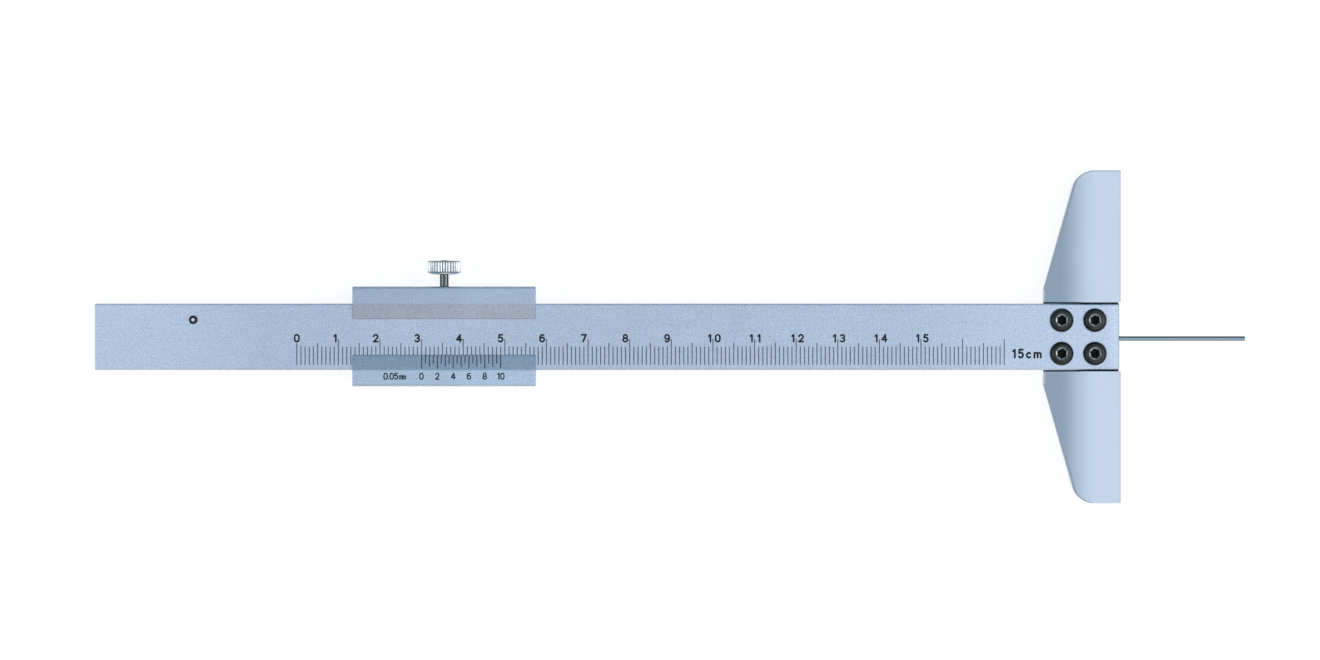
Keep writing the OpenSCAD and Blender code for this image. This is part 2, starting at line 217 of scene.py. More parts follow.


# %% [markdown]
# ## Steel as it is seen
# Bare steel has almost no colour of its own: it shows its surroundings, tinted by the metal and
# blurred by the grind. So each finish is a metal whose Base Color is the tone of the photograph's
# flat faces, and all the life comes from small differences in tone, roughness and height. Five
# effects are shared, so each is a node group: a satin grain, the lines of a grinding wheel,
# the rings of a lathe tool, the wear along edges, and dirt with painted shade in a joint.

# %% [markdown]
# ### Small helpers
# A node's input takes a number or another node's output, so one small function feeds both. The
# formulas of a finish, such as a product or a soft ramp, then stay as short as written maths. A
# group starts with its sockets named: what it is given, and what it gives back.

# %% Colours and inputs
def linear(r, g, b):
    """A colour written as on a screen, 0 to 255, in the linear values that shaders use."""
    def one(v):
        v /= 255
        return v / 12.92 if v <= 0.04045 else ((v + 0.055) / 1.055) ** 2.4
    return (one(r), one(g), one(b), 1)


def put(slot, value):
    """Links another node's output to an input, or sets the input's own value."""
    if isinstance(value, bpy.types.NodeSocket):
        slot.id_data.links.new(value, slot)
    else:
        slot.default_value = value


def feed(node, **inputs):
    """Feeds a node's inputs by name."""
    for name, value in inputs.items():
        put(node.inputs[name.replace("_", " ")], value)
    return node


def add(tree, kind, **inputs):
    """A new node with some inputs fed by name."""
    return feed(tree.nodes.new("ShaderNode" + kind), **inputs)


# %% Formulas from nodes
def computed(tree, kind, operation, *values):
    """A Math or Vector Math node with its first inputs fed in order."""
    node = tree.nodes.new("ShaderNode" + kind)
    node.operation = operation
    for slot, value in zip(node.inputs, values):
        put(slot, value)
    return node


def maths(tree, operation, *values):
    """The result of a Math node on sockets or numbers."""
    return computed(tree, "Math", operation, *values).outputs[0]


def times(tree, *values):
    """The product of sockets and numbers."""
    return functools.reduce(lambda a, b: maths(tree, "MULTIPLY", a, b), values)


def ramp(tree, value, low, high, to_low=0.0, to_high=1.0, kind="SMOOTHSTEP"):
    """Maps a value's range to another range, softly and clamped. Returns the output."""
    node = add(tree, "MapRange", Value=value, From_Min=low, From_Max=high,
               To_Min=to_low, To_Max=to_high)
    node.interpolation_type = kind
    return node.outputs["Result"]


def noise(tree, spot, **inputs):
    """A noise over coordinates. Its values lie round one half."""
    return add(tree, "TexNoise", Vector=spot, **inputs).outputs["Fac"]


def varied(tree, tone, values, contrast):
    """A tone that a noise's values move up and down by a given contrast."""
    move = times(tree, maths(tree, "SUBTRACT", values, 0.5), contrast, 2.0)
    return maths(tree, "ADD", move, tone)


def axes(tree, output="Object"):
    """X, Y and Z of a piece's own coordinates, or of another output of Texture Coordinate."""
    return add(tree, "SeparateXYZ", Vector=add(tree, "TexCoord").outputs[output]).outputs


def reach(tree, x, y):
    """How far the point (x, y) is from (0, 0)."""
    flat = add(tree, "CombineXYZ", X=x, Y=y).outputs[0]
    return computed(tree, "VectorMath", "LENGTH", flat).outputs["Value"]


# %% Node groups
def new_group(name, inputs, outputs):
    """An empty node group. Returns it, the sockets it is given and the node of its results."""
    group = bpy.data.node_groups.new(name, "ShaderNodeTree")
    for side, sockets in (("INPUT", inputs), ("OUTPUT", outputs)):
        for label, value in sockets.items():
            kind = "NodeSocketVector" if isinstance(value, tuple) else "NodeSocketFloat"
            socket = group.interface.new_socket(label, in_out=side, socket_type=kind)
            if side == "INPUT":
                socket.default_value = value
    given, out = group.nodes.new("NodeGroupInput"), group.nodes.new("NodeGroupOutput")
    print(name, "takes", ", ".join(inputs), "and gives", ", ".join(outputs))
    return group, given.outputs, out


# %% [markdown]
# ### Satin grain
# A satin chrome or lapped face is a field of tiny pits. Seen closely it is mottled at a few tenths
# of a millimetre, and over centimetres its tone drifts a little where the hand has polished it.
# Two noises do this, one fine and one broad. Both read the piece's own coordinates, so the grain
# has the same size on every part and stays put when the part moves.

# %% Group: satin grain
BROAD_PER_METRE = 42.0


def make_satin_grain():
    group, given, out = new_group(
        "satin_grain", {"Grains per metre": 2600.0, "Contrast": 0.08, "Drift": 0.05},
        {"Tone": 0.0, "Pits": 0.0})
    spot = add(group, "TexCoord").outputs["Object"]
    fine = noise(group, spot, Scale=given["Grains per metre"], Detail=3.0, Roughness=0.6)
    broad = noise(group, spot, Scale=BROAD_PER_METRE, Detail=2.0)
    drift = varied(group, 1.0, broad, given["Drift"])
    feed(out, Tone=varied(group, drift, fine, given["Contrast"]), Pits=fine)
    return group


satin_grain = make_satin_grain()

# %% [markdown]
# ### Grinding lines
# A surface grinder leaves parallel scratches, long one way and very narrow the other. Noise does
# this too when its coordinates are stretched: few changes per metre along the lines and many
# across them. The group takes that stretch as a vector, so each part can have its own direction.

# %% Group: grinding lines
def make_grinding_lines():
    group, given, out = new_group(
        "grinding_lines", {"Changes per metre": (120.0, 9000.0, 120.0), "Contrast": 0.05},
        {"Tone": 0.0, "Scratches": 0.0})
    stretched = computed(group, "VectorMath", "MULTIPLY", add(group, "TexCoord").outputs["Object"],
                         given["Changes per metre"]).outputs[0]
    lines = noise(group, stretched, Scale=1.0, Detail=4.0, Roughness=0.7)
    feed(out, Tone=varied(group, 1.0, lines, given["Contrast"]), Scratches=lines)
    return group


grinding_lines = make_grinding_lines()

# %% [markdown]
# ### Turning rings
# A lathe tool leaves fine rings round the axis. The distance from the axis drives a noise of one
# dimension, so the rings are uneven as real ones are. Turned pieces stand on their own Z axis,
# so the distance is the length of X and Y alone.

# %% Group: turning rings
def make_turning_rings():
    group, given, out = new_group(
        "turning_rings", {"Rings per metre": 8000.0, "Contrast": 0.2},
        {"Tone": 0.0, "Rings": 0.0, "Radius": 0.0})
    at = axes(group)
    radius = reach(group, at["X"], at["Y"])
    uneven = add(group, "TexNoise", Scale=1.0, Detail=2.0)
    uneven.noise_dimensions = "1D"
    rings = feed(uneven, W=times(group, radius, given["Rings per metre"])).outputs["Fac"]
    feed(out, Tone=varied(group, 1.0, rings, given["Contrast"]), Rings=rings, Radius=radius)
    return group


turning_rings = make_turning_rings()

# %% [markdown]
# ### Edge wear
# Handling polishes edges first. The Bevel node gives the normal that a rounded edge would have,
# and where that normal turns away from the true one there is an edge. A noise breaks the line up,
# because wear is never even. The mask brightens the tone and lowers the roughness.

# %% Group: edge wear
EDGE_TURN, EDGE_SAMPLES = (0.015, 0.16), 6
EDGE_PATCHES, PATCHES_PER_METRE = (0.25, 0.6, 0.35), 700.0


def make_edge_wear():
    group, given, out = new_group("edge_wear", {"Width": 0.25 * MM, "Amount": 1.0}, {"Wear": 0.0})
    rounded = add(group, "Bevel", Radius=given["Width"])
    rounded.samples = EDGE_SAMPLES
    alike = computed(group, "VectorMath", "DOT_PRODUCT", rounded.outputs["Normal"],
                     add(group, "NewGeometry").outputs["True Normal"]).outputs["Value"]
    spot = add(group, "TexCoord").outputs["Object"]
    patches = noise(group, spot, Scale=PATCHES_PER_METRE, Detail=3.0)
    turning = ramp(group, maths(group, "SUBTRACT", 1.0, alike), *EDGE_TURN)
    wear = computed(group, "Math", "MULTIPLY", given["Amount"],
                    times(group, turning, ramp(group, patches, *EDGE_PATCHES)))
    wear.use_clamp = True
    feed(out, Wear=wear.outputs[0])
    return group


edge_wear = make_edge_wear()

# %% [markdown]
# ### Dirt and painted shade in the joint
# Oil and dust settle in the narrow gap between the beam and the base's slot, and painted shade
# darkens it further, so that it is the darkest line on the gauge. A painted dark line of shade also
# runs along the top edge of the beam's sawn end. Both places are simple boxes in the gauge's own
# coordinates, so a mask from the position finds them: how far along the beam, how far from its
# middle and how high. The same box serves either side, by the absolute Y.

# %% Group: joint dirt and painted shade
def make_joint_grime():
    group, given, out = new_group(
        "joint_dirt_and_shade", dict.fromkeys(("From X", "Inner Y", "Outer Y", "Low Z", "High Z"), 0.0),
        {"Grime": 0.0})
    at = axes(group)
    side = maths(group, "ABSOLUTE", at["Y"])
    above = ((at["X"], "From X"), (side, "Inner Y"), (at["Z"], "Low Z"))
    below = ((side, "Outer Y"), (at["Z"], "High Z"))
    tests = [maths(group, "GREATER_THAN", value, given[limit]) for value, limit in above]
    tests += [maths(group, "LESS_THAN", value, given[limit]) for value, limit in below]
    feed(out, Grime=times(group, *tests))
    return group


joint_dirt_and_shade = make_joint_grime()

# %% [markdown]
# ## The finishes
# Every finish starts as an empty material with a Principled BSDF. A group is placed in it with
# its own values, the tones of the groups are multiplied, and their product scales the colour.

# %% Helpers for finishes
def new_finish(name, **principled):
    """A material with plain values. Returns it, its node tree and its Principled BSDF."""
    material = bpy.data.materials.new(name)
    material.use_nodes = True
    tree = material.node_tree
    return material, tree, feed(tree.nodes["Principled BSDF"], **principled)


def place(tree, group, **values):
    """Puts a node group in a material with its own values. Returns its outputs."""
    node = tree.nodes.new("ShaderNodeGroup")
    node.node_tree = group
    return feed(node, **values).outputs


def tinted(tree, colour, tone):
    """A colour scaled by a tone that changes over the surface."""
    return feed(computed(tree, "VectorMath", "SCALE", colour[:3]), Scale=tone).outputs[0]


def blended(tree, mask, dull, bright):
    """Mixes two colours, each a socket or a colour, by a mask."""
    mix = add(tree, "Mix", Factor=mask)
    mix.data_type = "RGBA"
    for slot, value in zip((s for s in mix.inputs if s.type == "RGBA"), (dull, bright)):
        put(slot, value)
    return next(s for s in mix.outputs if s.type == "RGBA")


def raised(tree, shader, height, depth, strength):
    """Feeds a height, in metres once scaled by depth, to the shader's normal."""
    bump = add(tree, "Bump", Strength=strength, Distance=depth, Height=height)
    feed(shader, Normal=bump.outputs["Normal"])


def turned_away(tree):
    """Layer Weight's measure of how far a surface turns away: 0 is square on, 1 is edge on."""
    return add(tree, "LayerWeight", Blend=0.5).outputs["Facing"]


# %% [markdown]
# ### Satin steel
# The base, beam, slider and the parts behind them are one kind of steel with small differences:
# the colour of the flat faces, how rough they are and which way the grinding lines run. The grain
# and the lines share the work, and worn edges are brighter and smoother than the faces. Painted light
# and shade, a slow ramp along an axis, make the beam lighter towards its ends and darker in its middle.
# On a thin round part, Layer Weight paints the flanks darker, as a painted reflection.

# %% Finish: satin steel
WORN_STEEL = linear(206, 220, 236)
# The dark colour of oil and of painted shade in the joint.
OIL_AND_SHADE = linear(30, 38, 34)
PIT_RANGE = (0.3, 0.7)
PIT_DEPTH, WORN_ROUGHNESS = 0.004 * MM, 0.7
LINES_SHARE, ROUGHNESS_SHARE, SCRATCH_SHARE = 0.4, 0.1, 0.5
FLANKS = (0.08, 0.4)


def satin_steel(name, colour, roughness, lines, contrast, wear=0.7, pits=0.5, dirt_and_shade_boxes=(), painted_light_ramps=(),
                flanks=1.0, edges=None):
    """Ground steel, with boxes of oil and painted shade, slow ramps of painted light and shade along an
    axis, and a function that adds tones.
    """
    material, tree, shader = new_finish(name, Metallic=1.0)
    grain = place(tree, satin_grain, Contrast=contrast)
    ground = place(tree, grinding_lines, Changes_per_metre=lines, Contrast=LINES_SHARE * contrast)
    worn = place(tree, edge_wear, Amount=wear)["Wear"]
    at = axes(tree)
    tones = [grain["Tone"], ground["Tone"]]
    # Painted light and shade: slow ramps of tone along an axis.
    tones += [ramp(tree, at[axis], *change) for axis, *change in painted_light_ramps]
    # Painted reflection: Layer Weight paints the flanks of a thin round part darker.
    if flanks < 1:
        tones.append(ramp(tree, turned_away(tree), *FLANKS, 1.0, flanks))
    if edges:
        tones.append(edges(tree, at))
    colours = blended(tree, worn, tinted(tree, colour, times(tree, *tones)), WORN_STEEL)
    # Each box darkens the colour with oil and with painted shade.
    for box in dirt_and_shade_boxes:
        colours = blended(tree, place(tree, joint_dirt_and_shade, **box)["Grime"], colours, OIL_AND_SHADE)
    uneven = ROUGHNESS_SHARE * contrast
    rough = ramp(tree, grain["Pits"], *PIT_RANGE, roughness - uneven, roughness + uneven, "LINEAR")
    rough = times(tree, rough, ramp(tree, worn, 0, 1, 1.0, WORN_ROUGHNESS))
    feed(shader, Base_Color=colours, Roughness=rough)
    height = maths(tree, "ADD", grain["Pits"], times(tree, ground["Scratches"], SCRATCH_SHARE))
    raised(tree, shader, height, PIT_DEPTH, strength=pits)
    return material


print("worn edges have", WORN_ROUGHNESS, "of the faces' roughness")

# %% [markdown]
# ### Where the steels differ
# Oil and painted shade darken three boxes: the walls of the base's slot and the beam's sides in it,
# and a painted dark line along the top edge of the beam's sawn end. Painted light and shade change
# the tone slowly along an axis, so each change is written as an axis, where it starts and ends, and
# the tone before and after.

# %% Places of dirt, painted shade and painted light
ALONG_X = (90.0, 9000.0, 9000.0)
ALONG_Y = (9000.0, 90.0, 9000.0)
SLOT_HALF, SLOT_FLOOR = beam_half + 0.35 * MM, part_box("beam")[0].z
# Oil and painted shade in the gap between the beam and the base's slot.
slot_walls = {"From_X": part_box("base")[0].x, "Inner_Y": 0.0, "Outer_Y": SLOT_HALF,
              "Low_Z": SLOT_FLOOR - 0.1 * MM, "High_Z": front_z - 0.2 * MM}
beam_sides = {"From_X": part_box("base")[0].x, "Inner_Y": beam_half - 0.1 * MM, "Outer_Y": SLOT_HALF,
              "Low_Z": SLOT_FLOOR, "High_Z": front_z - 0.4 * MM}
# A painted dark line of shade along the top edge of the beam's end.
beam_end = {"From_X": top("beam").x - 0.1 * MM, "Inner_Y": -MM, "Outer_Y": SLOT_HALF,
            "Low_Z": front_z - 0.15 * MM, "High_Z": front_z + MM}
# Painted light and shade: the beam lighter towards both ends and darker in its middle; the slider
# lighter along its lower flat and a little darker on its left half.
BEAM_PAINTED_LIGHT = [("X", -138 * MM, -85 * MM, 1.19, 1.02), ("X", 45 * MM, 108 * MM, 0.95, 1.12),
                 ("X", 104.5 * MM, 107 * MM, 1.0, 1.1)]
SLIDER_PAINTED_LIGHT = [("Y", -9 * MM, -7 * MM, 1.15, 1.0), ("X", -54 * MM, -47 * MM, 0.96, 1.02)]
print("grime and painted shade start", round((front_z - slot_walls["High_Z"]) / MM, 2), "mm below the front of the slot")

# %% [markdown]
# ### The base's own edges
# The base's rear bevels are painted darker than its faces, and its round corners and one end are
# painted with a fine dark line, all of it painted shade. The piece's normal tells a bevel from a face,
# because it leans back, and the distance from the corner's centre finds the line. Walls that stand
# upright are left as they are.

# %% Painted shade on the base's edges
BASE_END = top("base").y
CORNER_BACK, CORNER_RADIUS = 6.245 * MM, 5.5 * MM
CORNER_FROM_Y, CORNER_TO_BACK, CORNER_FADE = 36.4 * MM, 6.35 * MM, 1 * MM
DARK_LINE = 0.15 * MM
LEANING, UPRIGHT = (-0.5, -0.3), 0.3
BEVEL_TONE, CORNER_TONE, END_TONE = 0.82, 0.45, 0.5


def base_edges(tree, at):
    """Painted shade on the base's rear bevels, round corners and one end, where they face up or down.
    """
    normal = axes(tree, "Normal")
    flat = maths(tree, "GREATER_THAN", maths(tree, "ABSOLUTE", normal["Z"]), UPRIGHT)
    bevels = ramp(tree, normal["X"], *LEANING, 1.0, 0.0)
    side = maths(tree, "ABSOLUTE", at["Y"])
    from_centre = reach(tree, maths(tree, "SUBTRACT", at["X"], face_x - CORNER_BACK),
                        maths(tree, "SUBTRACT", side, BASE_END - CORNER_RADIUS))
    line_end = face_x - CORNER_TO_BACK
    corners = times(tree,
                    ramp(tree, from_centre, CORNER_RADIUS - 2 * DARK_LINE, CORNER_RADIUS - DARK_LINE),
                    ramp(tree, side, CORNER_FROM_Y, CORNER_FROM_Y + CORNER_FADE),
                    ramp(tree, at["X"], line_end - CORNER_FADE, line_end, 1.0, 0.0))
    end = ramp(tree, at["Y"], BASE_END - 2 * DARK_LINE, BASE_END - DARK_LINE)
    tones = [ramp(tree, mask, 0, 1, 1.0, tone)
             for mask, tone in ((bevels, BEVEL_TONE), (corners, CORNER_TONE), (end, END_TONE))]
    return maths(tree, "ADD", times(tree, flat, *tones), maths(tree, "SUBTRACT", 1.0, flat))


print("dark line round the corners,", DARK_LINE / MM, "mm wide")

# %% [markdown]
# ### One recipe, five steels
# The base is ground finest, so it is the lightest, and its lines run along the measuring face. The
# beam and the slider are lapped to a coarser satin. Plate and holder are plainer and darker, since
# nobody looks at them. Colours are written as they show on a screen, and linear() converts them.

# %% Satin steels
base_steel = satin_steel("base_steel", linear(195, 211, 231), 0.27, ALONG_Y, 0.02, 0.3, 0.03,
                         [slot_walls], edges=base_edges)
beam_steel = satin_steel("beam_steel", linear(179, 197, 219), 0.34, ALONG_X, 0.5, 0.5,
                         dirt_and_shade_boxes=[beam_sides, beam_end], painted_light_ramps=BEAM_PAINTED_LIGHT)
slider_steel = satin_steel("slider_steel", linear(165, 185, 208), 0.34, ALONG_X, 0.5, 0.6,
                           painted_light_ramps=SLIDER_PAINTED_LIGHT)
plate_steel = satin_steel("plate_steel", linear(160, 176, 196), 0.32, ALONG_X, 0.2)
holder_steel = satin_steel("holder_steel", linear(140, 150, 162), 0.42, ALONG_Y, 0.2)
print("satin steels for base, beam, slider, back plate and holder")

# %% [markdown]
# ### Rod, small screws and spring
# The measuring rod is hardened and drawn over stones, so it is smoother than the beam, a little
# darker, and its marks run along it. One side of it is painted with a dark line of painted shade, and
# its flanks are painted dark against the bright floor, a painted reflection. Small screws and rivets
# are bright turned steel.
# The flat spring behind the beam is rolled bronze, which is seen only as a thin warm strip.

# %% Finish: turned bright steel and bronze
RING_DEPTH = 0.003 * MM


def turned_surface(tree, rings, grains):
    """Lathe rings and grain, each by how many a metre and how strong. Returns both and their tone."""
    marks = place(tree, turning_rings, Rings_per_metre=rings[0], Contrast=rings[1])
    grain = place(tree, satin_grain, Grains_per_metre=grains[0], Contrast=grains[1])
    return marks, grain, times(tree, marks["Tone"], grain["Tone"])


def turned_steel(name, colour, smoothest, roughest):
    material, tree, shader = new_finish(name, Metallic=1.0)
    marks, grain, tone = turned_surface(tree, rings=(9000.0, 0.08), grains=(2600.0, 0.04))
    feed(shader, Base_Color=tinted(tree, colour, tone),
         Roughness=ramp(tree, grain["Pits"], *PIT_RANGE, smoothest, roughest, "LINEAR"))
    raised(tree, shader, marks["Rings"], RING_DEPTH, strength=0.4)
    return material


# A painted line of shade along one side of the rod.
ROD_SHADE_LINE = [("X", -0.02 * MM, 0.24 * MM, 1.0, 0.4)]
rod_steel = satin_steel("rod_steel", linear(150, 174, 198), 0.22, (60.0, 5000.0, 5000.0), 0.2, 0.3,
                        painted_light_ramps=ROD_SHADE_LINE, flanks=0.4)
small_steel = turned_steel("small_screw_steel", linear(176, 186, 198), 0.25, 0.33)
spring_bronze = satin_steel("spring_bronze", linear(206, 160, 104), 0.3, ALONG_X, 0.08, 0.3)
print("rod, small screws and bronze")

# %% [markdown]
# ### Black oxide
# The base screws are blackened: a thin oxide that is dark but still a little shiny, with the rings
# of the lathe under it. A hexagon key rubs the mouth of the socket bright, so a narrow ring at
# that radius is bare steel, broken up by noise. Below the mouth the socket is painted near black, as
# painted shade, and the head's outer rim is painted darker, also painted shade. The radius comes from
# the turning rings group, and the height from the piece's own Z. The stop screw's small socket is the
# other way round: its floor is painted bright, a painted highlight.

# %% Finish: black oxide
OXIDE, SOCKET_SHADE = linear(60, 67, 66), linear(20, 25, 24)
OXIDE_ROUGHNESS, RUBBED_ROUGHNESS = 0.34, 0.22
SOFT_EDGE, BRIGHT_PATCHES = 0.08 * MM, (0.3, 0.55, 0.45)
RIM_SHADE_FROM, RIM_SHADE_TO, RIM_TONE = 0.5 * MM, 0.1 * MM, 0.35


def black_oxide(name, bare_and_highlight, bright_from, bright_to, mouth, rim):
    """Black steel, bright between two radii as wear and painted highlight, with painted shade in the
    socket below its mouth and on the rim.
    """
    material, tree, shader = new_finish(name, Metallic=1.0)
    marks, grain, tone = turned_surface(tree, rings=(3600.0, 0.9), grains=(4200.0, 0.6))
    radius = marks["Radius"]
    # Painted shade: the socket below its mouth is painted near black.
    deep = times(tree, maths(tree, "LESS_THAN", axes(tree)["Z"], mouth),
                 maths(tree, "LESS_THAN", radius, bright_to - SOFT_EDGE))
    # Bright between the two radii: wear on the base screws, a painted highlight on the stop screw's
    # socket floor.
    worn = times(tree, ramp(tree, radius, bright_from - SOFT_EDGE, bright_from),
                 ramp(tree, radius, bright_to, bright_to + SOFT_EDGE, 1.0, 0.0),
                 ramp(tree, grain["Pits"], *BRIGHT_PATCHES), maths(tree, "SUBTRACT", 1.0, deep))
    # Painted shade: the head's outer rim is painted darker.
    shade = ramp(tree, radius, rim - RIM_SHADE_FROM, rim - RIM_SHADE_TO, 1.0, RIM_TONE)
    black = blended(tree, deep, tinted(tree, OXIDE, times(tree, tone, shade)), SOCKET_SHADE)
    feed(shader, Base_Color=blended(tree, worn, black, bare_and_highlight),
         Roughness=ramp(tree, worn, 0, 1, OXIDE_ROUGHNESS, RUBBED_ROUGHNESS))
    raised(tree, shader, marks["Rings"], 2 * RING_DEPTH, strength=0.5)
    return material


HEAD_RADIUS, HEAD_HEIGHT, SOCKET_SINK, SOCKET_RING = 2.85 * MM, 1.65 * MM, 0.2 * MM, 1.45 * MM
STOP_RADIUS = 0.98 * MM
screw_black = black_oxide("black_oxide", linear(148, 161, 168), bright_from=MM, bright_to=SOCKET_RING,
                          mouth=HEAD_HEIGHT - 0.95 * SOCKET_SINK, rim=HEAD_RADIUS)
# The stop screw's socket floor is painted bright, a painted highlight.
stop_black = black_oxide("black_oxide_stop", linear(205, 212, 218), bright_from=0.0,
                         bright_to=0.36 * MM, mouth=0.0, rim=STOP_RADIUS)
print("black oxide, worn bright at", round(SOCKET_RING / MM, 2), "mm")

# %% [markdown]
# ### Knurled chrome
# The knob is bright chrome over a knurl. Polishing reaches the crests but never the valleys, nor
# the corners at both ends of the teeth, which stay rougher and are painted dark, as painted shade.
# The distance from the axis tells crest from valley and the height finds the corners, so no paint
# by hand is needed. The neck, the stem and the boss in the knob's top were never polished. They are
# smooth and dark, with two painted highlights, light stripes where Layer Weight says they turn half
# away from the eye.

# %% Finish: knurled chrome
KNOB_RADIUS = (knob_top.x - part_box("clamp_screw")[0].x) / 2
TOOTH_DEPTH, NECK_RADIUS, BOSS_RADIUS, BOSS_PROUD = 0.28 * MM, 1.05 * MM, 1.1 * MM, 0.15 * MM
KNOB_HEIGHT, KNOB_RIM, DOME_HEIGHT = 3.4 * MM, 0.45 * MM, 0.65 * MM
KNOB_FOOT = knob_top.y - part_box("clamp_screw")[0].y - BOSS_PROUD - KNOB_HEIGHT
# The second colour is painted shade for the knurl's valleys and the ends of its teeth.
CHROME, VALLEY_SHADE, PLAIN_NECK = linear(232, 237, 243), linear(150, 162, 170), linear(134, 150, 154)
CHROME_ROUGHNESS, PLAIN_ROUGHNESS, CHROME_RINGS = 0.1, 0.3, 0.002 * MM
VALLEY, CREST, SHADED_BAND_HALF, FADE = 0.8 * TOOTH_DEPTH, 0.15 * TOOTH_DEPTH, 0.2 * MM, 0.2 * MM
STRIPE_RISE, STRIPE_FALL = (0.02, 0.08, 0.35, 1.0), (0.12, 0.32, 1.0, 0.1)


def band(tree, height, middle_height, half_width):
    """A mask that is 1 within a narrow band of heights."""
    away = maths(tree, "ABSOLUTE", maths(tree, "SUBTRACT", height, middle_height))
    return ramp(tree, away, 0.5 * half_width, half_width, 1.0, 0.0)


def knurled_chrome():
    material, tree, shader = new_finish("knob_chrome", Metallic=1.0)
    marks, _, tone = turned_surface(tree, rings=(7000.0, 0.06), grains=(3200.0, 0.03))
    radius, face_end = marks["Radius"], KNOB_RADIUS - TOOTH_DEPTH
    # Painted shade: the valleys between crests are painted dark.
    crest = ramp(tree, radius, KNOB_RADIUS - VALLEY, KNOB_RADIUS - CREST)
    face = ramp(tree, radius, face_end - FADE / 2, face_end, 1.0, 0.0)
    polished_and_lit = maths(tree, "MAXIMUM", crest, face)
    # Painted shade: a dark band at each end of the teeth, which also stays rougher.
    for height in (KNOB_FOOT + DOME_HEIGHT, KNOB_FOOT + KNOB_HEIGHT - KNOB_RIM / 2):
        unpolished_shaded_band = band(tree, axes(tree)["Z"], height, SHADED_BAND_HALF)
        polished_and_lit = times(tree, polished_and_lit, maths(tree, "SUBTRACT", 1.0, unpolished_shaded_band))
    teeth = blended(tree, polished_and_lit, VALLEY_SHADE, tinted(tree, CHROME, tone))
    outside = ramp(tree, radius, BOSS_RADIUS, BOSS_RADIUS + FADE)
    facing = turned_away(tree)
    # Painted highlights: two light stripes on the neck, stem and boss.
    highlight_stripes = times(tree, ramp(tree, facing, *STRIPE_RISE), ramp(tree, facing, *STRIPE_FALL))
    smooth = times(tree, polished_and_lit, outside)
    feed(shader, Base_Color=blended(tree, outside, tinted(tree, PLAIN_NECK, highlight_stripes), teeth),
         Roughness=ramp(tree, smooth, 0, 1, PLAIN_ROUGHNESS, CHROME_ROUGHNESS))
    raised(tree, shader, marks["Rings"], CHROME_RINGS, strength=0.3)
    return material


knob_chrome = knurled_chrome()
print("knurled chrome, crest radius", round(KNOB_RADIUS / MM, 2), "mm")

# %% [markdown]
# ### Engraved marks
# The lines are etched and darkened, and a wipe with a rag takes some of the darkness out again, so
# they end up grey. The figures keep more of theirs and stay nearly black. Both are matt, and
# both are a little uneven from mark to mark.

# %% Finish: engraved marks
def etched(name, colour, roughness, contrast):
    material, tree, shader = new_finish(name, Roughness=roughness, Specular_IOR_Level=0.3)
    grain = place(tree, satin_grain, Grains_per_metre=3000.0, Contrast=contrast, Drift=contrast)
    feed(shader, Base_Color=tinted(tree, colour, grain["Tone"]))
    raised(tree, shader, grain["Pits"], PIT_DEPTH, strength=0.6)
    return material


line_grey = etched("etched_line", linear(88, 104, 112), 0.5, 0.16)
vernier_grey = etched("etched_vernier_line", linear(52, 68, 72), 0.5, 0.16)
figure_black = etched("etched_figure", linear(10, 15, 15), 0.45, 0.2)
print("etched marks in two greys and a near black")

# %% [markdown]
# ## Base, beam and slider
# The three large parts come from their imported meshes. The base tapers towards its rear edge on both
# faces, and that slope is what shades its wings from light to dark. Its measuring edges and its
# sloping edges already have small flat chamfers. Where its slope meets the round corners of the
# wings it has edges shorter than any Bevel, so its own chamfers have to do.

# %% Ground parts
BEAM_EDGE, SLIDER_EDGE, SMALL_EDGE = 0.05 * MM, 0.14 * MM, 0.04 * MM

dress(ground_copy("base"), base_steel, "gauge_body", "base_steel", "base")
dress(ground_copy("beam", BEAM_EDGE), beam_steel, "gauge_body", "beam_steel", "beam")
dress(ground_copy("slider_body", SLIDER_EDGE), slider_steel, "slide", "slider_steel", "slider_body")

# %% [markdown]
# ## Behind the slider
# A plate closes the slider's back. It carries the foot that holds the measuring rod, and four
# slotted screws hold it. A flat bronze spring lies between the clamp screw and the beam. These
# are seen from behind or at a grazing angle, so a ground copy of each is all that they need.

# %% Back plate, holder and spring
dress(ground_copy("slider_back_plate", SMALL_EDGE), plate_steel, "slide", "plate_steel",
      "slider_back_plate")
dress(ground_copy("rod_holder", SMALL_EDGE), holder_steel, "slide", "holder_steel", "rod_holder")
dress(ground_copy("gib_spring", SMALL_EDGE), spring_bronze, "gib", "spring_bronze", "gib_spring")
for number in range(1, 5):
    node = f"back_plate_screw_{number}"
    dress(ground_copy(node, SMALL_EDGE), small_steel, "slide", "small_screw_steel", node)

# %% [markdown]
# ## Base screws
# Four button-head screws hold the beam in the base. The head is a low dome with a flat top, and its
# hexagon socket has a small countersink that the key has rubbed bright. All four share one
# profile. Nobody tightens screws to the same angle, so each has its own turn.

# %% Base screws
HEAD_FLAT = 1.62 * MM
SHANK_RADIUS, SHANK_LENGTH, SHANK_CHAMFER = 1.48 * MM, 6 * MM, 0.3 * MM
SOCKET_ACROSS, SOCKET_DEPTH, SOCKET_CONE = 2.15 * MM, 1.05 * MM, 0.25 * MM
SCREW_STEPS = 96
SCREW_TURNS = [math.radians(degrees) for degrees in (30, 37, 26, 44)]


